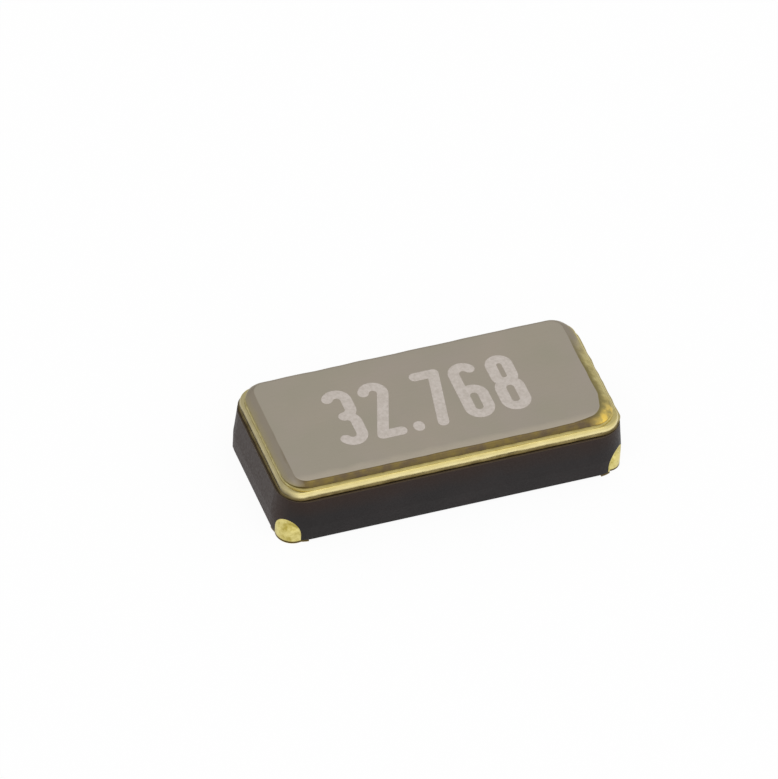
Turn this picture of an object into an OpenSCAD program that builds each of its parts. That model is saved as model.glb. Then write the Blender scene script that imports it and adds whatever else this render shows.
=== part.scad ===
// Surface-mount quartz crystal unit, 3.2 x 1.5 mm, ceramic package with a seam-welded metal lid.
// Millimetres. Origin at the centre of the footprint, on the soldering plane of the terminals.
// +X along the length towards the free tips of the fork, +Y across, +Z up through the lid.

/* [Ceramic body] */
// Length of the package
body_l = 3.2; // [3.1:0.05:3.6]
// Width of the package
body_w = 1.5; // [1.44:0.02:1.7]
// Radius of the four upright corners
corner_r = 0.28; // [0.25:0.01:0.32]
// Thickness of the floor sheet, which the corner castellations go through
base_t = 0.145; // [0.12:0.005:0.18]
// Thickness of the sheet that forms the mounting shelf
shelf_t = 0.09; // [0.08:0.01:0.12]
// Height of the wall sheets above the shelf
frame_t = 0.195; // [0.18:0.005:0.28]
// Run of the side faces, which lean in above the floor sheet where the blade scored them
side_lean = 0.025; // [0.015:0.005:0.035]
// Wall beside the cavity, along each long side
side_wall_t = 0.26; // [0.22:0.01:0.28]
// Wall beside the cavity, at each end
end_wall_t = 0.3; // [0.25:0.01:0.34]
// Corner radius of the cavity
cavity_r = 0.12; // [0.08:0.01:0.16]
// Length of the mounting shelf, from the end wall of the cavity
shelf_l = 0.55; // [0.5:0.01:0.6]
// Radius of the quarter-round castellation in each bottom corner
castellation_r = 0.19; // [0.17:0.005:0.2]
// Height of the upright part of a castellation, below its domed roof
castellation_h = 0.08; // [0.06:0.005:0.1]
// Radius of the plug of fused metal that fills the front castellation of the left terminal
plug_r = 0.15; // [0.14:0.005:0.155]
// Distance of the axis of the plug from both sides of the package
plug_inset = 0.16; // [0.155:0.005:0.17]

/* [Terminals] */
// Thickness of the plated soldering pads
pad_t = 0.02; // [0.015:0.001:0.03]
// Thickness of the plating in the castellations
plating_t = 0.015; // [0.01:0.001:0.02]
// Length of each soldering pad, along X
pad_l = 0.7; // [0.6:0.01:0.8]
// Ceramic left bare between a pad and each long side of the package
pad_side_gap = 0.13; // [0.11:0.005:0.15]
// Ceramic left bare between a pad and the end of the package
pad_end_gap = 0.07; // [0.05:0.005:0.08]
// Corner radius of the pads
pad_r = 0.04; // [0.02:0.005:0.06]
// Leg of the cut corner that marks the left pad
index_cut = 0.26; // [0.2:0.01:0.32]
// Land round each front castellation, which joins it to its pad
front_land_w = 0.07; // [0.05:0.005:0.1]
// Land round each back castellation
back_land_w = 0.025; // [0.02:0.005:0.05]

/* [Seal ring and lid] */
// Printed metallising on top of the ceramic wall
metallising_t = 0.01; // [0.008:0.001:0.015]
// Bare ceramic outside the metallising
metallising_inset = 0.04; // [0.036:0.002:0.05]
// Brazing alloy between the metallising and the ring
braze_t = 0.015; // [0.01:0.001:0.02]
// Spread of the brazing fillet outside the ring
braze_spread = 0.015; // [0.012:0.001:0.018]
// Thickness of the seal ring
ring_t = 0.055; // [0.045:0.005:0.1]
// Upright foot of the ring's outer face
ring_foot_h = 0.012; // [0.008:0.001:0.02]
// Run of the ring's outer face, which leans in above its foot
ring_lean = 0.018; // [0.01:0.001:0.018]
// Step of the ring back from the cavity wall
ring_ledge_w = 0.02; // [0.01:0.005:0.04]
// Thickness of the lid
lid_t = 0.08; // [0.07:0.005:0.1]
// Thickness left at the edge of the lid under the welding rollers
lid_edge_t = 0.045; // [0.035:0.005:0.055]
// Distance of the lid inside the foot of the ring, along each long side
lid_margin_side = 0.03; // [0.03:0.002:0.04]
// Distance of the lid inside the foot of the ring, at each end
lid_margin_end = 0.038; // [0.034:0.002:0.05]
// Radius of the corners of the lid
lid_r = 0.21; // [0.18:0.01:0.23]
// Width of the sloping weld track along each long side
track_side_w = 0.02; // [0.015:0.005:0.04]
// Width of the sloping weld track at each end
track_end_w = 0.09; // [0.07:0.005:0.1]
// Spread of the weld fillet over the ring, outside the edge of the lid
weld_leg = 0.011; // [0.008:0.001:0.012]
// Height of the weld fillet up the edge of the lid
weld_h = 0.025; // [0.02:0.001:0.03]

/* [Tuning fork] */
// Thickness of the quartz blank
fork_t = 0.11; // [0.1:0.005:0.12]
// Gap between the base of the fork and the end wall behind it
base_gap = 0.09; // [0.06:0.01:0.12]
// Gap between the tips of the fork and the end wall before them
tip_gap = 0.27; // [0.2:0.01:0.34]
// Length of the base, up to the crotch
fork_base_l = 0.62; // [0.58:0.01:0.66]
// Width of the base
fork_base_w = 0.52; // [0.48:0.01:0.56]
// Width of a tine: with its length it sets the frequency
tine_w = 0.12; // [0.11:0.005:0.13]
// Gap between the tines
tine_gap = 0.08; // [0.07:0.005:0.09]
// Length of the sloping shoulders between base and tines
shoulder_l = 0.08; // [0.06:0.01:0.1]
// Width left at the neck that keeps vibration out of the base
neck_w = 0.34; // [0.32:0.01:0.38]
// Length of the neck
neck_l = 0.07; // [0.05:0.01:0.08]
// Distance from the shoulders back to the neck
neck_gap = 0.05; // [0.04:0.01:0.06]
// Width of the groove in each face of a tine
groove_w = 0.06; // [0.05:0.005:0.07]
// Depth of each groove
groove_d = 0.03; // [0.02:0.005:0.035]
// Ungrooved stretch of a tine between the groove and the trimming weight
groove_gap = 0.28; // [0.2:0.02:0.36]
// Run of the groove back into the base
groove_run = 0.04; // [0.03:0.005:0.06]

/* [Fork electrodes] */
// Thickness of the gold films
film_t = 0.01; // [0.008:0.001:0.012]
// Width of the leads on the base
lead_w = 0.05; // [0.04:0.005:0.06]
// Length of the bonding lands of the fork
land_l = 0.22; // [0.18:0.01:0.26]
// Height of the film on the sides of the tines
side_film_h = 0.06; // [0.04:0.005:0.07]
// Width of the bridge beside the crotch
bridge_w = 0.03; // [0.02:0.005:0.035]
// Length of the trimming weight on each tip
weight_l = 0.36; // [0.3:0.01:0.42]
// Bare quartz round the trimming weight
weight_margin = 0.012; // [0.01:0.002:0.02]
// Thickness of the trimming weights
weight_t = 0.014; // [0.01:0.001:0.02]

/* [Mounting of the fork] */
// Length of the bonding pads on the shelf
bond_l = 0.4; // [0.36:0.01:0.44]
// Width of the bonding pads
bond_w = 0.3; // [0.28:0.01:0.32]
// Thickness of the bonding pads
bond_t = 0.01; // [0.008:0.001:0.015]
// Bare shelf between a bonding pad and the cavity wall beside it
bond_gap = 0.05; // [0.04:0.01:0.06]
// Thickness of the adhesive under the fork
adhesive_t = 0.025; // [0.02:0.001:0.03]
// Radius of the foot of an adhesive dot
adhesive_r = 0.12; // [0.11:0.005:0.13]
// Height that the adhesive climbs up the side of the fork
adhesive_climb = 0.05; // [0.04:0.005:0.06]
// Distance of the dot's centre inside the edge of the fork
adhesive_inset = 0.02; // [0.01:0.005:0.03]

/* [Buried conductors] */
// Thickness of the printed traces
trace_t = 0.012; // [0.01:0.001:0.02]
// Width of the printed traces
trace_w = 0.08; // [0.06:0.01:0.1]
// Radius of the vias
via_r = 0.045; // [0.035:0.005:0.06]

/* [Hidden] */
$fn = 64;
eps = 0.01;

// Levels, from the soldering plane upwards
z_ceramic = pad_t;
z_base = z_ceramic + base_t;
z_shelf = z_base + shelf_t;
z_frame = z_shelf + frame_t;
z_metal = z_frame + metallising_t;
z_braze = z_metal + braze_t;
z_ring = z_braze + ring_t;
z_bond = z_shelf + bond_t;
z_fork = z_bond + adhesive_t + film_t;

// Cavity
cavity_l = body_l - 2 * end_wall_t;
cavity_w = body_w - 2 * side_wall_t;

// Outlines above the ceramic wall, each stepped in from the one below
ring_inset = metallising_inset + braze_spread;
lid_l = body_l - 2 * (ring_inset + lid_margin_end);
lid_w = body_w - 2 * (ring_inset + lid_margin_side);

// Terminals
pad_w = body_w - 2 * pad_side_gap;
pad_x = body_l / 2 - pad_end_gap - pad_l / 2;

// Fork, whose own origin is in the crotch at mid thickness
crotch_x = -cavity_l / 2 + base_gap + fork_base_l;
tine_l = cavity_l / 2 - tip_gap - crotch_x;
groove_l = tine_l - weight_margin - weight_l - groove_gap;
tine_y = (tine_gap + tine_w) / 2;
tines_w = tine_gap + 2 * tine_w;
face_z = fork_t / 2;

// Bonding pads, with the dots of adhesive and the vias over and under them
bond_x = -cavity_l / 2 + shelf_l / 2;
bond_y = cavity_w / 2 - bond_gap - bond_w / 2;
land_x = bond_x - crotch_x;
adhesive_y = fork_base_w / 2 - adhesive_inset;

// Traces end well inside a castellation, so that its plating cuts them off
trace_y = (body_w - castellation_r) / 2;
trace_end_x = (body_l - castellation_r) / 2;

ceramic_black = "#3b383a";
gold_plate = "#d2b44c";
nickel_lid = "#9c9488";
weld_brown = "#6f6238";
silver_braze = "#c8c4a0";
tungsten_grey = "#6a6866";
quartz_clear = "#dfe7ea";
adhesive_grey = "#b9b7b2";

// Rectangle with round corners, centred
module round_rect(l, w, r) {
    square([l - 2 * r, w], center = true);
    square([l, w - 2 * r], center = true);
    for (sx = [-1, 1], sy = [-1, 1])
        translate([sx * (l / 2 - r), sy * (w / 2 - r)]) circle(r);
}

// Half section of a plate, upright to edge_h and then sloping in by slope up to h
module edge_section(half, h, edge_h, slope) {
    polygon([[-half, 0], [half, 0], [half, edge_h], [half - slope, h], [-half + slope, h], [-half, edge_h]]);
}

// Plate with round corners whose rim slopes in above edge_h
module sloped_plate(l, w, r, h, edge_h, slope) {
    rotate([90, 0, 90]) linear_extrude(l - 2 * r, center = true) edge_section(w / 2, h, edge_h, slope);
    rotate([90, 0, 0]) linear_extrude(w - 2 * r, center = true) edge_section(l / 2, h, edge_h, slope);
    for (sx = [-1, 1], sy = [-1, 1])
        translate([sx * (l / 2 - r), sy * (w / 2 - r), 0]) {
            cylinder(h = edge_h, r = r);
            translate([0, 0, edge_h]) cylinder(h = h - edge_h, r1 = r, r2 = r - slope);
        }
}

// The package outline, stepped in by inset
module body_outline(inset) {
    round_rect(body_l - 2 * inset, body_w - 2 * inset, corner_r - inset);
}

// The cavity outline, stepped out by step
module cavity_outline(step) {
    round_rect(cavity_l + 2 * step, cavity_w + 2 * step, cavity_r + step);
}

// The package without its cavity, castellations and conductors
module body_block() {
    translate([0, 0, z_ceramic])
        sloped_plate(body_l, body_w, corner_r, z_frame - z_ceramic, base_t, side_lean);
}

// Upright round space with a domed roof
module domed_column(r) {
    translate([0, 0, -eps]) cylinder(h = castellation_h + eps, r = r);
    translate([0, 0, castellation_h]) sphere(r);
}

// Space of the castellations on the sides given
module castellations(r, sides_x, sides_y) {
    for (sx = sides_x, sy = sides_y)
        translate([sx * body_l / 2, sy * body_w / 2, 0]) domed_column(r);
}

// Floor, shelf and wall sheets fired into one piece, with everything that passes through them cut out
module ceramic_body() {
    color(ceramic_black) difference() {
        body_block();
        castellations(castellation_r, [-1, 1], [-1, 1]);
        translate([0, 0, z_base]) linear_extrude(z_frame) difference() {
            cavity_outline(0);
            translate([-body_l + shelf_l - cavity_l / 2, -body_w / 2]) square([body_l, body_w]);
        }
        translate([0, 0, z_shelf]) linear_extrude(z_frame) cavity_outline(0);
        conductor_shape(-1, 1);
        conductor_shape(1, -1);
    }
}

// Via under a bonding pad and the trace from it to the castellation on side_x
module conductor_shape(side_x, side_y) {
    translate([bond_x, side_y * bond_y, z_base - trace_t]) cylinder(h = shelf_t + trace_t, r = via_r);
    translate([0, 0, z_base - trace_t]) linear_extrude(trace_t) {
        translate([bond_x - trace_w / 2, side_y > 0 ? bond_y : -trace_y - trace_w / 2])
            square([trace_w, trace_y + trace_w / 2 - bond_y]);
        translate([side_x < 0 ? -trace_end_x : bond_x - trace_w / 2, side_y * trace_y - trace_w / 2])
            square([trace_end_x + side_x * -bond_x + trace_w / 2, trace_w]);
    }
}

module conductor(side_x, side_y) {
    color(tungsten_grey) difference() {
        conductor_shape(side_x, side_y);
        castellations(castellation_r, [side_x], [side_y]);
    }
}

// Bulge of the plug, which stands out a little from the round corner of the package
module plug() {
    difference() {
        translate([plug_inset - body_l / 2, plug_inset - body_w / 2, 0]) domed_column(plug_r);
        translate([-body_l, -body_w, -body_w]) cube([body_l, body_w, body_w]);
    }
}

// Soldering pad with its two plated castellations; the left one has its corner cut and its plug
module terminal(side_x) {
    color(gold_plate) difference() {
        union() {
            linear_extrude(pad_t) intersection() {
                union() {
                    difference() {
                        translate([side_x * pad_x, 0]) round_rect(pad_l, pad_w, pad_r);
                        if (side_x < 0)
                            translate([-pad_x + pad_l / 2, -pad_w / 2]) rotate(45)
                                square(index_cut * sqrt(2), center = true);
                    }
                    translate([side_x * body_l / 2, -body_w / 2]) circle(castellation_r + front_land_w);
                    translate([side_x * body_l / 2, body_w / 2]) circle(castellation_r + back_land_w);
                }
                body_outline(0);
            }
            intersection() {
                castellations(castellation_r, [side_x], [-1, 1]);
                union() {
                    body_block();
                    if (side_x < 0) plug();
                }
            }
        }
        castellations(castellation_r - plating_t, [side_x], side_x < 0 ? [1] : [-1, 1]);
    }
}

module bonding_pad(side_y) {
    color(gold_plate) translate([bond_x, side_y * bond_y, z_shelf + bond_t / 2])
        cube([bond_l, bond_w, bond_t], center = true);
}

// Dot of silver-filled adhesive under the edge of the fork, which it wets
module adhesive(side_y) {
    color(adhesive_grey) difference() {
        translate([bond_x, side_y * adhesive_y, z_bond])
            cylinder(h = adhesive_t + film_t + adhesive_climb, r1 = adhesive_r, r2 = adhesive_r / 2);
        in_fork_frame() translate([-fork_base_l / 2, 0, 0])
            cube([fork_base_l, fork_base_w + 2 * film_t, fork_t + 2 * film_t], center = true);
    }
}

module in_fork_frame() {
    translate([crotch_x, 0, z_fork + face_z]) children();
}

// Edge of the fork's +Y half, from the middle of its back end round to the crotch
function half_edge() =
    let (neck_x = -shoulder_l - neck_gap)
    [
        [-fork_base_l, fork_base_w / 2], [neck_x - neck_l, fork_base_w / 2],
        [neck_x - neck_l, neck_w / 2], [neck_x, neck_w / 2], [neck_x, fork_base_w / 2],
        [-shoulder_l, fork_base_w / 2], [0, tines_w / 2], [tine_l, tines_w / 2],
        [tine_l, tine_gap / 2], [0, tine_gap / 2]
    ];

// Etched blank: base, neck, and two tines with a groove in each face
module fork_shape() {
    difference() {
        linear_extrude(fork_t, center = true) polygon([
            each half_edge(),
            for (i = [len(half_edge()) - 1:-1:0]) [half_edge()[i].x, -half_edge()[i].y]
        ]);
        for (sy = [-1, 1], sz = [-1, 1])
            translate([(groove_l - groove_run) / 2, sy * tine_y, sz * face_z])
                cube([groove_l + groove_run, groove_w, 2 * groove_d], center = true);
    }
}

module tuning_fork() {
    color(quartz_clear) in_fork_frame() fork_shape();
}

// Film on one face: strip in the groove, riser out of it, lead along the base and bonding land
module face_film() {
    translate([-groove_run, tine_y - groove_w / 2, face_z - groove_d]) {
        cube([groove_l + groove_run, groove_w, film_t]);
        cube([film_t, groove_w, groove_d + film_t]);
    }
    translate([land_x, tine_y - lead_w / 2, face_z])
        cube([-groove_run - land_x + film_t, lead_w, film_t]);
    translate([land_x - land_l / 2, tine_y - lead_w / 2, face_z])
        cube([land_l, fork_base_w / 2 + film_t - tine_y + lead_w / 2, film_t]);
}

// One electrode: both faces of the +Y tine, the sides and tip of the other, and the bridge between
module electrode_shape() {
    face_film();
    mirror([0, 0, 1]) face_film();
    translate([land_x, (fork_base_w + film_t) / 2, 0])
        cube([land_l, film_t, fork_t + 2 * film_t], center = true);
    difference() {
        translate([0, -tines_w / 2 - film_t, -side_film_h / 2])
            cube([tine_l + film_t, tine_w + 2 * film_t, side_film_h]);
        translate([-eps, -tines_w / 2, -side_film_h])
            cube([tine_l + eps, tine_w, 2 * side_film_h]);
    }
    translate([0, -tine_gap / 2, 0]) cube([bridge_w, film_t, face_z + film_t]);
    translate([-bridge_w, -tine_gap / 2, face_z]) cube([bridge_w, tine_gap / 2 + tine_y, film_t]);
}

module electrode(side_y) {
    color(gold_plate) in_fork_frame() rotate([side_y > 0 ? 0 : 180, 0, 0]) electrode_shape();
}

module trim_weight(side_y) {
    color(gold_plate) in_fork_frame()
        translate([tine_l - weight_margin - weight_l, side_y * tine_y - tine_w / 2 + weight_margin, face_z])
            cube([weight_l, tine_w - 2 * weight_margin, weight_t]);
}

module ring_metallising() {
    color(gold_plate) translate([0, 0, z_frame]) linear_extrude(metallising_t) difference() {
        body_outline(metallising_inset);
        cavity_outline(ring_ledge_w);
    }
}

// Alloy that flowed between metallising and ring and stands as a fillet round the ring's foot
module braze_joint() {
    color(silver_braze) translate([0, 0, z_metal]) difference() {
        sloped_plate(body_l - 2 * metallising_inset, body_w - 2 * metallising_inset,
                     corner_r - metallising_inset, braze_t, braze_t / 3, braze_spread);
        translate([0, 0, -eps]) linear_extrude(braze_t + 2 * eps) cavity_outline(ring_ledge_w);
    }
}

module seal_ring() {
    color(gold_plate) translate([0, 0, z_braze]) difference() {
        sloped_plate(body_l - 2 * ring_inset, body_w - 2 * ring_inset, corner_r - ring_inset,
                     ring_t, ring_foot_h, ring_lean);
        translate([0, 0, -eps]) linear_extrude(ring_t + 2 * eps) cavity_outline(ring_ledge_w);
    }
}

// Flat stamped lid, pressed down along its rim by the welding rollers, more at the ends
module lid() {
    color(nickel_lid) translate([0, 0, z_ring]) intersection() {
        sloped_plate(lid_l, lid_w, lid_r, lid_t, lid_edge_t, track_side_w);
        rotate([90, 0, 0]) linear_extrude(body_w, center = true)
            edge_section(lid_l / 2, lid_t, lid_edge_t, track_end_w);
    }
}

// Fillet of fused plating that seals the edge of the lid to the ring
module weld_seam() {
    color(weld_brown) translate([0, 0, z_ring]) difference() {
        sloped_plate(lid_l + 2 * weld_leg, lid_w + 2 * weld_leg, lid_r + weld_leg,
                     weld_h, weld_h / 4, weld_leg);
        translate([0, 0, -eps]) linear_extrude(lid_t) round_rect(lid_l, lid_w, lid_r);
    }
}

ceramic_body();
terminal(-1);  // terminal_left
terminal(1);  // terminal_right
conductor(-1, 1);  // conductor_left
conductor(1, -1);  // conductor_right
bonding_pad(1);  // bonding_pad_back
bonding_pad(-1);  // bonding_pad_front
adhesive(1);  // adhesive_back
adhesive(-1);  // adhesive_front
tuning_fork();
electrode(1);  // electrode_back
electrode(-1);  // electrode_front
trim_weight(1);  // trim_weight_back
trim_weight(-1);  // trim_weight_front
ring_metallising();
braze_joint();
seal_ring();
lid();
weld_seam();
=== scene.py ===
# %% [markdown]
# # A tuning fork crystal unit in a ceramic package
#
# A quartz crystal unit of this kind sets the pace of a clock on a circuit board. It is 3.2 mm
# long. A black ceramic box carries a gold-plated ring, a metal lid is welded to the ring, and a
# quartz tuning fork hums inside. The solid model gives the exact shapes as a fixed frame. This
# file dresses that frame: it softens the edges that a lens would catch, adds the traces of the
# welding rollers, and gives every piece its material.

# %% Load the frame and keep its box
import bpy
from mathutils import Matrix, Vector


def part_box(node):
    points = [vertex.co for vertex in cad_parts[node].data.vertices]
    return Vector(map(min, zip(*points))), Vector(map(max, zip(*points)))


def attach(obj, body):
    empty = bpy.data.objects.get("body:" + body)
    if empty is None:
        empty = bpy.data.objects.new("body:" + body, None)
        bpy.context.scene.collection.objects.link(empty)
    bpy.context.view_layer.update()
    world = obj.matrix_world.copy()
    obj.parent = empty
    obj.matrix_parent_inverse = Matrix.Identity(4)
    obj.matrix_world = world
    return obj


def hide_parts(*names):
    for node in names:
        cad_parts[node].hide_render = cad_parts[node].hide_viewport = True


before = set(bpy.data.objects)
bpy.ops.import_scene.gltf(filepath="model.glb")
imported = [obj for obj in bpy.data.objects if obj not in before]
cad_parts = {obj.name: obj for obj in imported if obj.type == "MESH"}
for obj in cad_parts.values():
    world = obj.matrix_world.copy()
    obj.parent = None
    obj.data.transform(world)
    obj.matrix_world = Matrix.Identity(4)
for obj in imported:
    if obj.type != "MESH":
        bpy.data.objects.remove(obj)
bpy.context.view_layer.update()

# %% Blender's modules
import math

import bmesh
import bpy
from mathutils import Matrix, Vector, noise

# %% [markdown]
# ## Units
#
# Scenes for this frame are in metres, and a part this small is easier to think of in
# millimetres. One factor turns one into the other, so every length below is written in
# millimetres and multiplied at the last moment. The frame gives the box of each node. A box says
# nothing of its corners, so the radius of the lid's corners is written down beside them.

# %% Millimetres
MM = 0.001


def span(node):
    """Length, width, lowest and highest level of a node of the frame, in millimetres."""
    low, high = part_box(node)
    return ((high[0] - low[0]) / MM, (high[1] - low[1]) / MM, low[2] / MM, high[2] / MM)


body_l, body_w, _, body_top = span("ceramic_body")
braze_l, braze_w, braze_bottom, _ = span("braze_joint")
ring_l, ring_w, ring_bottom, ring_top = span("seal_ring")
weld_l, weld_w, weld_bottom, weld_top = span("weld_seam")
lid_l, lid_w, lid_bottom, lid_top = span("lid")
LID_R = 0.21
print("package %.2f x %.2f mm, lid on it from %.3f to %.3f mm" % (body_l, body_w, lid_bottom, lid_top))

# %% [markdown]
# ## Camera
#
# A small part is looked at through a long lens from some way off, so its edges stay almost
# parallel. The camera stands in front of the left end and looks down by less than half a right
# angle. Its roll turns the part a little in the picture, and a small shift sets it left and
# below the middle. The same could be had by moving the camera's aim, but a shift keeps the
# angles as they are. The camera and the lamp are both placed by the way to them from the part.

# %% Place an object round the part
def look_at_part(item, azimuth, elevation, distance):
    """Place a camera or a lamp, aimed at the part; azimuth 0 is in front and grows to the right."""
    a, e = math.radians(azimuth), math.radians(elevation)
    way = Vector((math.sin(a) * math.cos(e), -math.cos(a) * math.cos(e), math.sin(e)))
    aim = (-way).to_track_quat("-Z", "Y").to_matrix().to_4x4()
    item.matrix_world = Matrix.Translation(way * distance * MM) @ aim
    bpy.context.collection.objects.link(item)


# %% Camera
CAMERA_AZIMUTH, CAMERA_ELEVATION, CAMERA_ROLL = -21.96, 44.28, 3.35
CAMERA_DISTANCE = 100
LENS, SENSOR_W = 533.0, 36
SHIFT = (-0.048, 0.0787)
NEAREST, FURTHEST = 5, 2000

camera = bpy.data.objects.new("camera", bpy.data.cameras.new("camera"))
look_at_part(camera, CAMERA_AZIMUTH, CAMERA_ELEVATION, CAMERA_DISTANCE)
camera.matrix_world = camera.matrix_world @ Matrix.Rotation(math.radians(CAMERA_ROLL), 4, "Z")
camera.data.lens, camera.data.sensor_width = LENS, SENSOR_W
camera.data.shift_x, camera.data.shift_y = SHIFT
camera.data.clip_start, camera.data.clip_end = NEAREST * MM, FURTHEST * MM
bpy.context.scene.camera = camera
print("camera at", [round(c / MM, 1) for c in camera.location], "mm")

# %% [markdown]
# ## Materials: the tools
#
# Every finish is a small network of nodes around one Principled shader. A maker's colours are
# written as hex values, as a paint chart has them, and the shader works with linear light, so
# one function turns one into the other. A second function adds a node, sets it and links it.
# Patterns read Object coordinates, which are metres here, so a pattern's scale follows from the
# real size of what it draws.

# %% Colours and nodes
def linear(hex_colour):
    """sRGB hex value as linear RGBA."""
    channels = [int(hex_colour[i:i + 2], 16) / 255 for i in (1, 3, 5)]
    return [c / 12.92 if c <= 0.04045 else ((c + 0.055) / 1.055) ** 2.4 for c in channels] + [1.0]


def add(tree, kind, sockets=(), **settings):
    """Add a node; a socket given another node's output is linked, any other value is set."""
    node = tree.nodes.new("ShaderNode" + kind)
    for name, value in settings.items():
        setattr(node, name, value)
    for key, value in dict(sockets).items():
        if isinstance(value, bpy.types.NodeSocket):
            tree.links.new(value, node.inputs[key])
        else:
            node.inputs[key].default_value = value
    return node


def new_material(name, **uniform):
    """A material with its Principled shader; the values given are the same all over."""
    material = bpy.data.materials.new(name)
    material.use_nodes = True
    shader = material.node_tree.nodes["Principled BSDF"]
    for socket, value in uniform.items():
        shader.inputs[socket.replace("_", " ")].default_value = value
    return material, material.node_tree, shader


# %% [markdown]
# Six more helpers hold what most finishes on this part share: a grain of a given size, the place
# on the part in millimetres, two colours that meet in a pattern, a limit that wavers, a gloss
# that comes and goes, and a shallow relief.

# %% What most finishes share
def grain(tree, size, detail=2.0, rough=0.5, stretch=(1, 1, 1)):
    """Noise over the piece with features of size millimetres; returns its 0 to 1 output."""
    place = add(tree, "TexCoord").outputs["Object"]
    if stretch != (1, 1, 1):
        place = add(tree, "Mapping", {"Vector": place, "Scale": stretch}).outputs["Vector"]
    return add(tree, "TexNoise", {"Vector": place, "Scale": 1 / (size * MM), "Detail": detail,
                                  "Roughness": rough}).outputs["Fac"]


def millimetres(tree):
    """The place on the piece, as three outputs X, Y and Z in millimetres."""
    place = add(tree, "TexCoord").outputs["Object"]
    scaled = add(tree, "VectorMath", {0: place, "Scale": 1 / MM}, operation="SCALE")
    return add(tree, "SeparateXYZ", {0: scaled.outputs["Vector"]}).outputs


def meet(tree, factor, first, second, low=0.35, high=0.65):
    """Colour that goes from first to second as factor goes from low to high."""
    share = add(tree, "MapRange", {"Value": factor, "From Min": low, "From Max": high}).outputs[0]
    colours = [c if isinstance(c, bpy.types.NodeSocket) else linear(c) for c in (first, second)]
    return add(tree, "Mix", {0: share, 6: colours[0], 7: colours[1]}, data_type="RGBA").outputs[2]


def wobble(tree, value, size, amount):
    """A value with noise of the given size added, which makes a straight limit ragged."""
    swing = add(tree, "MapRange", {"Value": grain(tree, size, detail=3), "From Min": 0.2, "From Max": 0.8,
                                   "To Min": -amount, "To Max": amount}).outputs[0]
    return add(tree, "Math", {0: value, 1: swing}, operation="ADD").outputs[0]


def uneven_gloss(tree, shader, pattern, shiny, dull):
    """Roughness that follows a 0 to 1 pattern."""
    rough = add(tree, "MapRange", {"Value": pattern, "From Min": 0.3, "From Max": 0.7,
                                   "To Min": shiny, "To Max": dull}).outputs[0]
    tree.links.new(rough, shader.inputs["Roughness"])


def relief(tree, shader, height, depth, strength=1.0):
    """Bump of the given depth in millimetres, from a 0 to 1 height."""
    bump = add(tree, "Bump", {"Height": height, "Distance": depth * MM, "Strength": strength})
    tree.links.new(bump.outputs["Normal"], shader.inputs["Normal"])


# %% [markdown]
# ## Black alumina
#
# The package is alumina coloured black with metal oxides. Sheets of soft green tape are punched,
# printed, pressed together and fired at 1500 degrees. What that gives the eye: a matt surface of
# fine grain with hardly any colour, which turns a little glossy only when it is seen at a
# glancing angle. Near the gold the wall turns a faint brown, and the top edge of the wall a
# paler brown. The left end wall is painted lighter and browner than the rest: painted light on
# that end. The real grain is about 3 thousandths of a millimetre, too fine to show, so it is
# drawn at 0.02 mm.

# %% Fired black alumina
black_alumina, tree, shader = new_material("fired_black_alumina", Metallic=0.0, IOR=1.5,
                                           Specular_IOR_Level=0.18)
cloud = grain(tree, 0.4, detail=3)
speck = grain(tree, 0.02)
sheet = meet(tree, cloud, "#211e1e", "#262222")
place = millimetres(tree)
level = wobble(tree, place["Z"], 0.25, 0.05)
# Browner towards the top of the wall, near the gold.
browner_near_gold = meet(tree, level, sheet, "#2b1e18", body_top - 0.2, body_top)
# Painted light: the left end wall is painted lighter and browner than the rest.
painted_light_left_end = meet(tree, place["X"], "#30241f", browner_near_gold, -body_l / 2 + 0.03, -body_l / 2 + 0.1)
ledge = meet(tree, place["Z"], painted_light_left_end, "#463a2c", body_top - 0.008, body_top - 0.001)
tree.links.new(ledge, shader.inputs["Base Color"])
uneven_gloss(tree, shader, speck, 0.42, 0.58)
relief(tree, shader, speck, 0.0012)
print("made", black_alumina.name)

# %% [markdown]
# ## Gold plating
#
# The seal ring is an iron-nickel-cobalt frame plated with nickel and a little gold. The thin
# gold over white nickel is pale, and it is bright but not polished. Its colour carries painted
# light: a painted highlight along the middle of its outer face, and painted shade that darkens
# the foot and yellows it towards the weld. At the left end it is painted duller, most of all at
# the foot, as painted shade. So the base colour is that of the gold with painted light and
# shade in it, and the shader does the rest.

# %% Pale gold over the ring
ring_gold, tree, shader = new_material("electroplated_gold_on_kovar", Metallic=1.0)
place = millimetres(tree)
patch = grain(tree, 0.16, detail=4, rough=0.6)
fine = grain(tree, 0.03, detail=3)
level = wobble(tree, place["Z"], 0.14, 0.009)
plate_with_painted_shade = meet(tree, patch, "#f1e3aa", "#e6d79a")
# Painted shade: darker at the foot of the ring, just above the black wall.
plate_with_painted_shade = meet(tree, level, "#a09166", plate_with_painted_shade, ring_bottom - 0.006, ring_bottom + 0.016)
# Painted shade: darker and yellower towards the weld.
plate_with_painted_shade = meet(tree, level, plate_with_painted_shade, "#cbbc7e", ring_top - 0.03, ring_top - 0.004)
# Painted shade for the left end of the ring, darkest at the foot.
dull = meet(tree, level, "#6f654a", "#c3b78a", ring_bottom + 0.01, ring_top)
end = wobble(tree, place["X"], 0.3, 0.03)
gold_with_painted_light = meet(tree, end, dull, plate_with_painted_shade, -ring_l / 2 + 0.03, -ring_l / 2 + 0.13)
tree.links.new(gold_with_painted_light, shader.inputs["Base Color"])
uneven_gloss(tree, shader, patch, 0.22, 0.34)
relief(tree, shader, fine, 0.0015, 0.6)
print("made", ring_gold.name)

# %% [markdown]
# The ring stands on a printed band of tungsten, and brazing alloy joins the two. The alloy pulled
# itself up into a hollow fillet before it froze, and the gold bath covered it with the rest. It
# is darker than the ring, and its thin outer lip is painted dark brown: painted shade just above
# the black wall.

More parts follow.
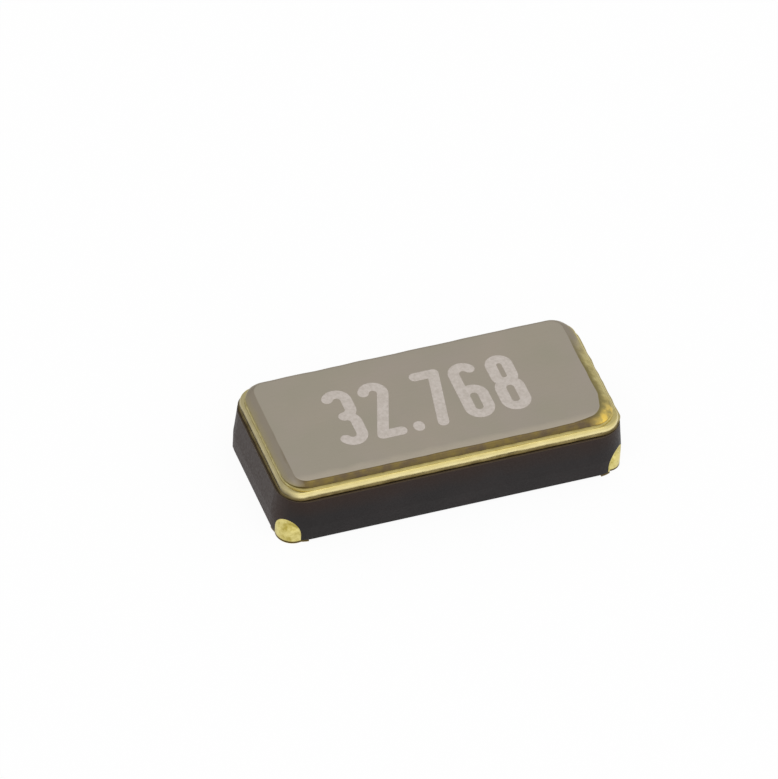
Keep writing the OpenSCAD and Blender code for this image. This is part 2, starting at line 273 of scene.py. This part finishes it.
# %% Gold over brazing alloy, and over the printed band
braze_gold, tree, shader = new_material("gold_plated_brazing_alloy", Metallic=1.0)
place = millimetres(tree)
flow = grain(tree, 0.09, detail=4, rough=0.6)
alloy = meet(tree, flow, "#8f8159", "#7d6f46")
# Painted shade: the lower part of the fillet is dark brown.
painted_shade_lip = meet(tree, wobble(tree, place["Z"], 0.14, 0.007), "#4a3e28", alloy, body_top + 0.006, ring_bottom)
run_out = meet(tree, place["X"], painted_shade_lip, "#c4b681", ring_l / 2 - 0.02, ring_l / 2)
tree.links.new(run_out, shader.inputs["Base Color"])
uneven_gloss(tree, shader, flow, 0.28, 0.42)
relief(tree, shader, flow, 0.002)
print("made", braze_gold.name)

# %% [markdown]
# ## Gold on the soldering pads
#
# The pads are tungsten paste printed on the green tape and fired with it, then plated with
# nickel and gold. The paste leaves a lumpy ground, so the gold over it is mottled: pale where it
# is thick, tan or brown where it is thin. It is palest where it climbs the castellations. Its thin
# edge is painted dark brown: painted shade at the foot of the part.

# %% Mottled gold over sintered tungsten
pad_gold, tree, shader = new_material("flash_gold_on_sintered_tungsten", Metallic=1.0)
place = millimetres(tree)
mottle = grain(tree, 0.13, detail=5, rough=0.65)
lump = grain(tree, 0.05, detail=3)
stain = grain(tree, 0.3, detail=4, rough=0.7)
body_gold = meet(tree, mottle, "#d0b85c", "#b3953f", 0.4, 0.62)
body_gold = meet(tree, stain, body_gold, "#8f7038", 0.58, 0.72)
climbing = meet(tree, grain(tree, 0.08, detail=4, rough=0.6), "#dccf86", "#ab9b48", 0.42, 0.66)
# Painted shade: the thin edge of the pads is dark brown.
edge_with_painted_shade = meet(tree, place["Z"], body_gold, "#57492a", 0.001, 0.003)
tree.links.new(meet(tree, place["Z"], edge_with_painted_shade, climbing, 0.018, 0.026), shader.inputs["Base Color"])
uneven_gloss(tree, shader, mottle, 0.3, 0.46)
relief(tree, shader, lump, 0.004)
print("made", pad_gold.name)

# %% [markdown]
# The electrodes of the fork are a thin film of gold, evaporated in a vacuum. A film follows the
# polish of what lies under it, so it is smoother and brighter than plating. The pads that the
# fork is bonded to have the same finish.

# %% Gold film on quartz and on the bonding pads
gold_film, tree, shader = new_material("evaporated_gold_film", Metallic=1.0)
thin = grain(tree, 0.08, detail=3)
tree.links.new(meet(tree, thin, "#e6cd82", "#d2b45c"), shader.inputs["Base Color"])
uneven_gloss(tree, shader, thin, 0.18, 0.3)
print("made", gold_film.name)

# %% [markdown]
# ## Matt nickel lid
#
# The lid is stamped from thin strip and plated with matt nickel. The bath leaves a warm grey
# surface with a soft, wide reflection and very slight clouds of pink and green, and the strip's
# rolling leaves a fine grain along its length. The welding rollers pressed and heated the rim.
# The pressed track is grey-mauve and pale at the left end. Along the front it is dark olive,
# partly burnt and partly painted shade on the front slope, darkest at its foot. Just inside its
# front edge the flat is painted paler: a painted highlight.
# At the right end gold crept up from the ring, most of all near the front corner. The colours
# follow the level, because everything that the rollers touched lies below the flat.

# %% Matt nickel of the flat
# Limits of the painted highlight, a paler band on the flat.
HIGHLIGHT_FROM, HIGHLIGHT_TO = 0.07, 0.12  # from the front edge of the lid

matt_nickel, tree, shader = new_material("matt_nickel_on_rolled_strip", Metallic=1.0)
place = millimetres(tree)
cloud = grain(tree, 0.9, detail=3)
tint = grain(tree, 0.55, detail=2)
rolled = grain(tree, 0.02, detail=3, stretch=(0.25, 1, 1))
warm = meet(tree, cloud, "#b6ac9c", "#b4a99f", 0.3, 0.7)
flat = meet(tree, tint, warm, "#b0a998", 0.3, 0.7)
# Painted highlight: a paler band just inside the front edge of the flat.
painted_highlight_band = wobble(tree, place["Y"], 0.15, 0.02)
flat = meet(tree, painted_highlight_band, "#bfb5a4", flat, -lid_w / 2 + HIGHLIGHT_FROM, -lid_w / 2 + HIGHLIGHT_TO)
uneven_gloss(tree, shader, rolled, 0.36, 0.46)
relief(tree, shader, rolled, 0.0008)
print("made", matt_nickel.name)

# %% Its pressed track
# Painted shade: in front of the first limit the track is also painted darker.
BURNT_AND_SHADED_Y = (-0.3, 0.2)  # burnt in front of the first, plain behind the second
LEFT_END = (0.07, 0.15)  # from the left edge of the lid

level = wobble(tree, place["Z"], 0.12, 0.004)
# Painted shade: the foot of the track is darker towards the front.
edge = meet(tree, place["Y"], "#857a3a", "#aca073", -lid_w / 2 + 0.05, -lid_w / 2 + 0.2)
track = meet(tree, level, edge, "#9f9585", lid_bottom + 0.02, lid_top - 0.015)
# Painted shade along the front, over the burnt colour.
burnt_and_painted_shade = meet(tree, grain(tree, 0.09, detail=4), "#77673c", "#645641")
burnt_and_painted_shade = meet(tree, place["Y"], burnt_and_painted_shade, track, *BURNT_AND_SHADED_Y)
left_end = wobble(tree, place["X"], 0.2, 0.02)
rim = meet(tree, left_end, track, burnt_and_painted_shade, -lid_l / 2 + LEFT_END[0], -lid_l / 2 + LEFT_END[1])
print("track coloured from the rim at", round(lid_bottom, 3), "to the flat at", round(lid_top, 3), "mm")

# %% Gold that crept up at the right end
CREPT_X = (1.24, 1.36)  # none before the first, all of it after the second
RICH_Y = (-0.62, -0.35)  # rich at the front corner, pale behind
FADING_Y = (0.1, 0.45)

gilding = meet(tree, place["Y"], "#edcb62", "#cdc085", *RICH_Y)
gilding = meet(tree, grain(tree, 0.07, detail=3), gilding, "#a89a62", 0.45, 0.7)
gilding = meet(tree, level, gilding, "#8c8052", lid_top - 0.02, lid_top - 0.006)
gilded = meet(tree, wobble(tree, place["Y"], 0.15, 0.12), gilding, track, *FADING_Y)
rim = meet(tree, wobble(tree, place["X"], 0.1, 0.02), rim, gilded, *CREPT_X)
surface = meet(tree, place["Z"], rim, flat, lid_top - 0.0015, lid_top - 0.0003)
tree.links.new(surface, shader.inputs["Base Color"])
print(len(tree.nodes), "nodes in", matt_nickel.name)

# %% [markdown]
# The welding current melted the plating of lid and ring into one another, so the bead between
# them is nickel tinted with gold. It is dark where it meets the lid, partly burnt and partly
# painted shade under the lid's edge, pale at the left end and golden again at the right. Its
# gloss changes from spot to spot.

# %% Fused metal of the weld
weld_metal, tree, shader = new_material("fused_nickel_and_gold", Metallic=1.0)
place = millimetres(tree)
bead = grain(tree, 0.06, detail=3)
level = wobble(tree, place["Z"], 0.08, 0.004)
# Painted shade: the bead is painted darker towards the lid.
burnt_and_painted_shade = meet(tree, level, "#cbbd7f", "#7b6c3d", weld_bottom + 0.004, weld_top + 0.004)
pale = meet(tree, bead, "#bcb180", "#aa9e6c")
fused = meet(tree, place["X"], pale, burnt_and_painted_shade, -weld_l / 2 + 0.02, -weld_l / 2 + 0.09)
fused = meet(tree, place["X"], fused, "#c9b873", weld_l / 2 - 0.2, weld_l / 2 - 0.08)
tree.links.new(fused, shader.inputs["Base Color"])
uneven_gloss(tree, shader, bead, 0.28, 0.5)
relief(tree, shader, bead, 0.002)
print("made", weld_metal.name)

# %% [markdown]
# ## Laser marking
#
# A laser writes on the lid by melting the skin of the nickel into a fine frost. The frost
# scatters light, so the strokes look paler than the plate around them, and almost white.

# %% Frosted strokes
laser_frost, tree, shader = new_material("laser_frosted_nickel", Metallic=0.5)
frost = grain(tree, 0.03, detail=3)
tree.links.new(meet(tree, frost, "#cfc6be", "#c4bbb2"), shader.inputs["Base Color"])
uneven_gloss(tree, shader, frost, 0.55, 0.75)
print("made", laser_frost.name)

# %% [markdown]
# ## Materials of the inside
#
# Nothing of the inside shows while the lid is on, but each piece keeps its finish for whoever
# opens the part: etched quartz, which is a clear glassy crystal, silver-filled adhesive, which
# dries to a grey paste with bright flakes, and grey sintered tungsten.

# %% Quartz, adhesive and tungsten
etched_quartz, tree, shader = new_material("etched_quartz", Metallic=0.0, IOR=1.544,
                                           Transmission_Weight=1.0)
facet = grain(tree, 0.06)
tree.links.new(meet(tree, facet, "#f4f8fa", "#e9f0f3"), shader.inputs["Base Color"])
uneven_gloss(tree, shader, facet, 0.05, 0.16)

silver_paste, tree, shader = new_material("silver_filled_silicone", Metallic=0.55)
flake = grain(tree, 0.012, detail=3)
tree.links.new(meet(tree, flake, "#c4c2bd", "#9a9893"), shader.inputs["Base Color"])
uneven_gloss(tree, shader, flake, 0.35, 0.6)
relief(tree, shader, flake, 0.002)

sintered_tungsten, tree, shader = new_material("sintered_tungsten", Metallic=1.0)
pore = grain(tree, 0.015)
tree.links.new(meet(tree, pore, "#8a8784", "#63605e"), shader.inputs["Base Color"])
uneven_gloss(tree, shader, pore, 0.5, 0.7)
relief(tree, shader, pore, 0.001)
print("made", etched_quartz.name, silver_paste.name, sintered_tungsten.name)

# %% Give the nodes of the frame their materials
FINISHES = {
    "ceramic_body": black_alumina, "terminal_left": pad_gold, "terminal_right": pad_gold,
    "conductor_left": sintered_tungsten, "conductor_right": sintered_tungsten,
    "bonding_pad_back": gold_film, "bonding_pad_front": gold_film,
    "adhesive_back": silver_paste, "adhesive_front": silver_paste,
    "tuning_fork": etched_quartz, "electrode_back": gold_film, "electrode_front": gold_film,
    "trim_weight_back": gold_film, "trim_weight_front": gold_film,
    "ring_metallising": braze_gold, "braze_joint": braze_gold, "seal_ring": ring_gold,
    "lid": matt_nickel, "weld_seam": weld_metal,
}
for node, material in FINISHES.items():
    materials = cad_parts[node].data.materials
    materials.clear()
    materials.append(material)
print("finished", len(FINISHES), "nodes")

# %% [markdown]
# ## From a bmesh to a piece
#
# Every piece below is drawn in millimetres as a bmesh.

# %% Finish a piece
def finish_piece(bm, name, material, replaces=(), sharp=35):
    """Turn a bmesh in millimetres into a piece of the frame."""
    bmesh.ops.transform(bm, matrix=Matrix.Scale(MM, 4), verts=bm.verts)
    mesh = bpy.data.meshes.new(name)
    for face in bm.faces:
        face.smooth = True
    bm.to_mesh(mesh)
    bm.free()
    mesh.set_sharp_from_angle(angle=math.radians(sharp))
    piece = bpy.data.objects.new(name, mesh)
    bpy.context.collection.objects.link(piece)
    mesh.materials.append(material)
    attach(piece, "root")
    if replaces:
        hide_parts(*replaces)
    print(name, len(mesh.polygons), "faces")


# %% [markdown]
# ## Round-cornered shapes, stacked
#
# The ring, the fillets and the lid are stacks of level outlines with round corners. Each outline
# is one face with its corners bevelled, and only its edges are kept. The edges of neighbouring
# outlines are then bridged. A box with bevelled edges would be quicker, but the stack gives each
# level its own inset, which hollow fillets and sloping weld tracks need. The straight sides are
# cut into short pieces, so that an edge can be made to waver.

# %% Stack outlines into a closed skin
CORNER_STEPS = 16
SIDE_CUTS, END_CUTS = 150, 60


def outline(bm, level, length, width, radius):
    """Edges of a level outline with round corners and sides in short pieces."""
    known = set(bm.edges)
    place = Matrix.Translation((0, 0, level)) @ Matrix.Diagonal((length, width, 1, 1))
    corners = bmesh.ops.create_grid(bm, x_segments=1, y_segments=1, size=0.5, matrix=place)["verts"]
    bmesh.ops.bevel(bm, geom=corners, affect="VERTICES", offset=radius, offset_type="OFFSET",
                    segments=CORNER_STEPS, profile=0.5, material=-1, clamp_overlap=False)
    edges = [e for e in bm.edges if e not in known]
    bmesh.ops.delete(bm, geom=[edges[0].link_faces[0]], context="FACES_ONLY")
    sides = [e for e in edges if e.calc_length() > width]
    ends = [e for e in edges if width / 4 < e.calc_length() <= width]
    bmesh.ops.subdivide_edges(bm, edges=sides, cuts=SIDE_CUTS)
    bmesh.ops.subdivide_edges(bm, edges=ends, cuts=END_CUTS)
    return [e for e in bm.edges if e not in known]


def stack(bm, sections, closed=False):
    """Bridge outlines given as (level, length, width, radius), and cap them or close the tube."""
    loops = [outline(bm, *section) for section in sections]
    for lower, upper in zip(loops, loops[1:] + loops[:1] if closed else loops[1:]):
        bmesh.ops.bridge_loops(bm, edges=lower + upper)
    if not closed:
        for loop in (loops[0], loops[-1]):
            bmesh.ops.edgeloop_fill(bm, edges=loop)
    bmesh.ops.recalc_face_normals(bm, faces=bm.faces)
    return [list({v for e in loop for v in e.verts}) for loop in loops]


# %% Ragged edges
NOISE_SEED = 5  # the noise of mathutils starts from the time of day unless it is given a seed

noise.seed_set(NOISE_SEED)


def ragged(verts, size, amount):
    """Push vertices about in their own level by noise with features of the given size."""
    for v in verts:
        push = noise.noise_vector(v.co / size) * amount
        v.co += Vector((push.x, push.y, 0))


# %% [markdown]
# ## Brazing fillet and seal ring
#
# The ring is a stamped frame as wide as the wall under it. Stamping rounds one edge, and that
# edge is on top here, so the outer face is upright at its foot and then curves in: a quarter of a
# tall ellipse. Under it lies the hollow fillet of brazing alloy, a quarter of a circle turned
# the other way. At the right end the alloy ran out as far as the edge of the wall. Ring and
# fillet have the same window in the middle.

# %% Window and quarter turns
BAND_END, BAND_SIDE, WINDOW_R = 0.225, 0.185, 0.14
CURVE_STEPS = 6

window = (ring_l - 2 * BAND_END, ring_w - 2 * BAND_SIDE, WINDOW_R)
quarter = [math.radians(90 * i / CURVE_STEPS) for i in range(CURVE_STEPS + 1)]
print("window %.2f x %.2f mm" % window[:2])

# %% Brazing fillet
BRAZE_R, RING_R = 0.205, 0.185
LIP = 0.002
RUN_OUT = 0.014
RAGGED_FOOT = 3  # outlines, counted from the bottom

braze_run = (braze_l - ring_l) / 2
sections = [(braze_bottom, braze_l, braze_w, BRAZE_R)]
for turn in quarter:
    step = braze_run * math.sin(turn)
    level = braze_bottom + LIP + (ring_bottom - braze_bottom - LIP) * (1 - math.cos(turn))
    sections.append((level, braze_l - 2 * step, braze_w - 2 * step, BRAZE_R - step))
tuck = (ring_bottom + LIP, ring_l - 2 * LIP, ring_w - 2 * LIP, RING_R - LIP)
sections += [tuck, (ring_bottom, *window), (braze_bottom, *window)]
bm = bmesh.new()
loops = stack(bm, sections, closed=True)
for loop in loops[:RAGGED_FOOT]:
    ragged(loop, 0.1, 0.004)
for v in bm.verts:
    if v.co.x > ring_l / 2:
        v.co.x += RUN_OUT * (v.co.x - ring_l / 2) / braze_run
finish_piece(bm, "braze_fillet", braze_gold, ["braze_joint"])

# %% Seal ring
RING_FOOT, RING_LEAN = 0.012, 0.018

sections = [(ring_bottom, ring_l, ring_w, RING_R)]
for turn in quarter:
    step = RING_LEAN * (1 - math.cos(turn))
    level = ring_bottom + RING_FOOT + (ring_top - ring_bottom - RING_FOOT) * math.sin(turn)
    sections.append((level, ring_l - 2 * step, ring_w - 2 * step, RING_R - step))
sections += [(ring_top, *window), (ring_bottom, *window)]
bm = bmesh.new()
loops = stack(bm, sections, closed=True)
for loop in loops[2:CURVE_STEPS + 1]:
    ragged(loop, 0.14, 0.0035)
finish_piece(bm, "rolled_seal_ring", ring_gold, ["seal_ring"])

# %% [markdown]
# ## Weld bead
#
# Two copper rollers run along the edges of the lid and send current through it in pulses. Each
# pulse melts a spot of plating where lid and ring meet, and the spots run together into a bead
# with a ripple. The bead is a stack as well. Its outline is then pushed in and out along a wave
# whose length is the distance that the rollers travel between two pulses.

# %% Bead with a ripple
PULSE_PITCH, RIPPLE = 0.09, 0.002
BEAD_SHARES = (0, 0.08, 0.25, 0.5, 0.75, 0.92, 1)
UNDER_LID, INTO_LID = 0.01, 0.001

weld_run = (weld_l - lid_l) / 2
sections = []
for share in BEAD_SHARES:
    step = weld_run * (1 - math.sqrt(1 - share ** 2))
    sections.append((weld_bottom + (weld_top - weld_bottom) * share,
                     weld_l - 2 * step, weld_w - 2 * step, LID_R + weld_run - step))
inside = (lid_l - 2 * UNDER_LID, lid_w - 2 * UNDER_LID, LID_R - UNDER_LID)
sections += [(weld_top + INTO_LID, *inside), (weld_bottom, *inside)]
bm = bmesh.new()
loops = stack(bm, sections, closed=True)
for loop in loops[:len(BEAD_SHARES) - 1]:
    for v in loop:
        wave = math.sin(2 * math.pi * (v.co.x + v.co.y) / PULSE_PITCH)
        v.co.x *= 1 + RIPPLE * wave / weld_l
        v.co.y *= 1 + RIPPLE * wave / weld_w
    ragged(loop, 0.1, 0.0015)
finish_piece(bm, "weld_bead", weld_metal, ["weld_seam"])

# %% [markdown]
# ## Lid
#
# The lid starts as a flat plate. The rollers press its rim down: only a little along the sides,
# where they run flat, and in a wide sloping track at the ends. The plate is stacked from its
# underside up: upright edge, rounded rim, track, flat. The limit of the flat is a little ragged,
# as the pressure was, and at the right front corner the rollers pressed more of it down.

# %% Lid
LID_EDGE = 0.033
TRACK_SIDE, TRACK_END = 0.042, 0.09
TRACK_START, TRACK_HOLLOW = 0.2, 1.2
FLAT_CORNER = 0.1
FLAT_INSET = 0.012
CORNER_PRESS, CORNER_PRESS_FROM = 0.6, (1.1, -0.35)
LID_STEPS = 9
STRAIGHT_RIM = 4  # outlines, counted from the underside


def lid_section(height):
    """Outline of the lid at a height from 0 at the rim to 1 on the flat."""
    side = TRACK_SIDE * (1 - math.sqrt(1 - height ** 2))
    end = TRACK_END * max(0, (height - TRACK_START) / (1 - TRACK_START)) ** TRACK_HOLLOW
    level = lid_bottom + LID_EDGE + (lid_top - lid_bottom - LID_EDGE) * height
    return level, lid_l - 2 * end, lid_w - 2 * side, LID_R - FLAT_CORNER * height


bm = bmesh.new()
heights = [math.sin(math.radians(90 * i / LID_STEPS)) for i in range(LID_STEPS + 1)]
sections = [(lid_bottom, lid_l, lid_w, LID_R)] + [lid_section(height) for height in heights]
level, length, width, radius = sections[-1]
sections.append((level, length - 2 * FLAT_INSET, width - 2 * FLAT_INSET, radius - FLAT_INSET))
loops = stack(bm, sections)
for loop in loops[STRAIGHT_RIM:-1]:
    ragged(loop, 0.16, 0.005)
for height, loop in zip(heights + [1], loops[1:]):
    for v in loop:
        near = max(0, v.co.x - CORNER_PRESS_FROM[0]) * max(0, CORNER_PRESS_FROM[1] - v.co.y)
        v.co += Vector((-1, 1, 0)) * CORNER_PRESS * near * height
finish_piece(bm, "lid_plate", matt_nickel, ["lid"])

# %% [markdown]
# ## Plug in the right front castellation
#
# The castellations are the quarter-round grooves in the corners of the floor sheet that carry
# gold from the sides to the pads. On the left of the part the front groove is filled flush by a
# blob of fused metal, and a smaller one sits in the groove on the right. Half a ball on a short
# upright column gives it: the ball is cut at its middle and the rim is drawn down to the pad.

# %% Plug
PLUG_R, PLUG_H, PLUG_INSET = 0.115, 0.075, 0.155
PLUG_FOOT = 0.004
LUMP, LUMP_H = 0.1, 0.004

plug_at = Vector((body_l / 2 - PLUG_INSET, -body_w / 2 + PLUG_INSET, PLUG_H))
bm = bmesh.new()
bmesh.ops.create_uvsphere(bm, u_segments=64, v_segments=32, radius=PLUG_R,
                          matrix=Matrix.Translation(plug_at))
bmesh.ops.bisect_plane(bm, geom=bm.verts[:] + bm.edges[:] + bm.faces[:], plane_co=plug_at,
                       plane_no=(0, 0, 1), clear_inner=True)
rim = [e for e in bm.edges if e.is_boundary]
drawn_out = bmesh.ops.extrude_edge_only(bm, edges=rim)["geom"]
foot = [v for v in drawn_out if isinstance(v, bmesh.types.BMVert)]
bmesh.ops.translate(bm, verts=foot, vec=(0, 0, PLUG_FOOT - PLUG_H))
bmesh.ops.edgeloop_fill(bm, edges=[e for e in bm.edges if e.is_boundary])
for v in bm.verts:
    push = noise.noise(v.co / LUMP) * LUMP_H
    v.co += Vector((push, push, 0))
bmesh.ops.recalc_face_normals(bm, faces=bm.faces)
finish_piece(bm, "gold_plug", pad_gold)

# %% [markdown]
# ## Marking
#
# A laser spot draws the marking, so the strokes have one width all along and round ends. Here
# they are plain numbers: the beat of a clock crystal in thousands a second. A text object would
# be quicker, but its strokes follow a font. So a digit is drawn from lines and arcs, no arc
# tighter than half a stroke, and a sharp corner is where one stroke ends and the next begins.

# %% Strokes of the numbers
DIGIT_W, DIGIT_H, STROKE_W = 0.17, 0.59, 0.1
WIDE, TIGHT, WAIST = DIGIT_W / 2, 0.073, 0.31
HEAD = DIGIT_H - WIDE
DOT_L = 0.018
ARC_STEPS = 24


def arc(y, start, end, radius=WIDE):
    """Points on an arc round the middle line of a digit, with the angles in degrees."""
    turns = [math.radians(start + (end - start) * i / ARC_STEPS) for i in range(ARC_STEPS + 1)]
    return [(DIGIT_W / 2 + radius * math.cos(turn), y + radius * math.sin(turn)) for turn in turns]


OPEN = {
    "2": [arc(HEAD, 160, -20) + [(0, 0)], [(0, 0), (DIGIT_W, 0)]],
    "3": [arc(HEAD, 150, 0) + arc(WAIST + WIDE, 0, -70), arc(WAIST - WIDE, 90, 0) + arc(WIDE, 0, -150)],
    "6": [arc(HEAD, 35, 180) + arc(WIDE, 180, 360) + arc(WAIST - WIDE, 0, 165)],
    "7": [[(0, DIGIT_H), (DIGIT_W, DIGIT_H)], [(DIGIT_W, DIGIT_H), (DIGIT_W / 3, 0)]],
    ".": [[(0, 0), (0, DOT_L)]],
}
CLOSED = {
    "8": [arc(WIDE, 180, 360) + arc(WAIST - WIDE, 0, 180),
          arc(WAIST + TIGHT, 180, 360, TIGHT) + arc(DIGIT_H - TIGHT, 0, 180, TIGHT)],
}
print("digits drawn:", " ".join(sorted({*OPEN, *CLOSED})))

# %% [markdown]
# Each stroke becomes a curve with a round section. At an open end the section shrinks to a point
# along a half circle, which closes it. Where two strokes of a digit cross, the later one lies a
# little higher, so that their faces don't coincide.

# %% Strokes as curves
MARK = "32.768"
MARK_X, MARK_Y, MARK_GAP = -0.024, 0.013, 0.063
LIFT = 0.012
END_REACHES = (0.3, 0.6, 0.8, 0.92, 0.98, 1)


def round_end(tip, neighbour):
    """Points and radii that draw the end of a stroke out to a half circle."""
    way = (tip - neighbour).normalized() * STROKE_W / 2
    return [(tip + way * reach, math.sqrt(1 - reach ** 2)) for reach in END_REACHES]


curve = bpy.data.curves.new("marking", "CURVE")
curve.dimensions = "3D"
curve.bevel_depth = STROKE_W / 2
curve.bevel_resolution = 4
widths = [0 if sign == "." else DIGIT_W for sign in MARK]
left = MARK_X - (sum(widths) + (len(MARK) - 1) * (STROKE_W + MARK_GAP)) / 2
for sign, width in zip(MARK, widths):
    for order, stroke in enumerate(OPEN.get(sign, []) + CLOSED.get(sign, [])):
        points = [Vector((left + x, MARK_Y + y - DIGIT_H / 2, order * LIFT)) for x, y in stroke]
        knots = [(point, 1.0) for point in points]
        if sign in OPEN:
            knots = round_end(points[0], points[1])[::-1] + knots + round_end(points[-1], points[-2])
        spline = curve.splines.new("POLY")
        spline.use_cyclic_u = sign in CLOSED
        spline.points.add(len(knots) - 1)
        for knot, (point, radius) in zip(spline.points, knots):
            knot.co = (*point, 1)
            knot.radius = radius
    left += width + STROKE_W + MARK_GAP
print(len(curve.splines), "strokes")

# %% [markdown]
# The curves are made a mesh and pressed almost flat, half of it sunk into the lid, so that the
# strokes stand about a thousandth of a millimetre above it. Their flanks are so shallow that half
# a degree already counts as a sharp edge.

# %% Marking
MARK_H = 0.0012
SAME_PLACE = 1e-6
SHALLOW = 0.5

drawn = bpy.data.objects.new("marking_strokes", curve)
bpy.context.collection.objects.link(drawn)
bm = bmesh.new()
bm.from_mesh(drawn.evaluated_get(bpy.context.evaluated_depsgraph_get()).to_mesh())
bpy.data.curves.remove(curve)
press = Matrix.Translation((0, 0, lid_top)) @ Matrix.Diagonal((1, 1, 2 * MARK_H / STROKE_W, 1))
bmesh.ops.transform(bm, matrix=press, verts=bm.verts)
bmesh.ops.remove_doubles(bm, verts=bm.verts, dist=SAME_PLACE)
bmesh.ops.recalc_face_normals(bm, faces=bm.faces)
finish_piece(bm, "laser_marking", laser_frost, sharp=SHALLOW)

# %% [markdown]
# ## Floor, world and lamp
#
# A plain white floor and soft daylight show a small part best. The room is brighter in front, as
# if a window stood behind the viewer, and dimmer at the back: the lid mirrors the back and reads
# as warm grey, while the leaning face of the ring mirrors the window and shines. The floor takes
# the part's shadow. Where the camera, a reflection or glass looks at it, it also glows, so that it
# reads as white paper without any more light on the part.

# %% Floor
FLOOR_HALF = 1000
FLOOR_GAP = 0.001  # below the pads, so that the two faces don't flicker

bm = bmesh.new()
bmesh.ops.create_grid(bm, x_segments=1, y_segments=1, size=FLOOR_HALF * MM,
                      matrix=Matrix.Translation((0, 0, -FLOOR_GAP * MM)))
mesh = bpy.data.meshes.new("floor")
bm.to_mesh(mesh)
bm.free()
floor = bpy.data.objects.new("floor", mesh)
bpy.context.collection.objects.link(floor)
print(floor.name, 2 * FLOOR_HALF, "mm across")

# %% White paper on the floor
FLOOR_GLOW = 0.93

paper, tree, shader = new_material("white_paper", Base_Color=linear("#fafafa"), Roughness=0.9,
                                   Specular_IOR_Level=0.0)
rays = add(tree, "LightPath").outputs
seen = add(tree, "Math", {0: rays["Is Camera Ray"], 1: rays["Is Glossy Ray"]}, operation="MAXIMUM")
seen = add(tree, "Math", {0: seen.outputs[0], 1: rays["Is Transmission Ray"]}, operation="MAXIMUM")
share = add(tree, "Math", {0: seen.outputs[0], 1: FLOOR_GLOW}, operation="MULTIPLY").outputs[0]
glow = add(tree, "Emission", {"Color": linear("#ffffff"), "Strength": 1.0}).outputs[0]
mixed = add(tree, "MixShader", {0: share, 1: shader.outputs[0], 2: glow}).outputs[0]
tree.links.new(mixed, tree.nodes["Material Output"].inputs["Surface"])
mesh.materials.append(paper)
print("made", paper.name)

# %% World
FRONT_LIGHT, BACK_LIGHT = 1.28, 0.56

world = bpy.data.worlds.new("room_with_a_window")
bpy.context.scene.world = world
world.use_nodes = True
tree = world.node_tree
across = add(tree, "SeparateXYZ", {0: add(tree, "TexCoord").outputs["Generated"]}).outputs["Y"]
strength = add(tree, "MapRange", {"Value": across, "From Min": -1, "From Max": 1,
                                  "To Min": FRONT_LIGHT, "To Max": BACK_LIGHT}).outputs[0]
tree.nodes["Background"].inputs["Color"].default_value = linear("#ffffff")
tree.links.new(strength, tree.nodes["Background"].inputs["Strength"])
print(world.name, "from", BACK_LIGHT, "at the back to", FRONT_LIGHT, "in front")

# %% Lamp
LAMP_AZIMUTH, LAMP_ELEVATION, LAMP_DISTANCE, LAMP_SIZE = 30, 70, 90, 40
LAMP_RADIANCE = 1.0

light = bpy.data.objects.new("soft_lamp", bpy.data.lights.new("soft_lamp", "AREA"))
light.data.size = LAMP_SIZE * MM
light.data.energy = LAMP_RADIANCE * math.pi * (LAMP_SIZE * MM) ** 2
look_at_part(light, LAMP_AZIMUTH, LAMP_ELEVATION, LAMP_DISTANCE)
bpy.context.scene.view_settings.view_transform = "Standard"
print(light.name, "of", LAMP_SIZE, "mm at", LAMP_DISTANCE, "mm")
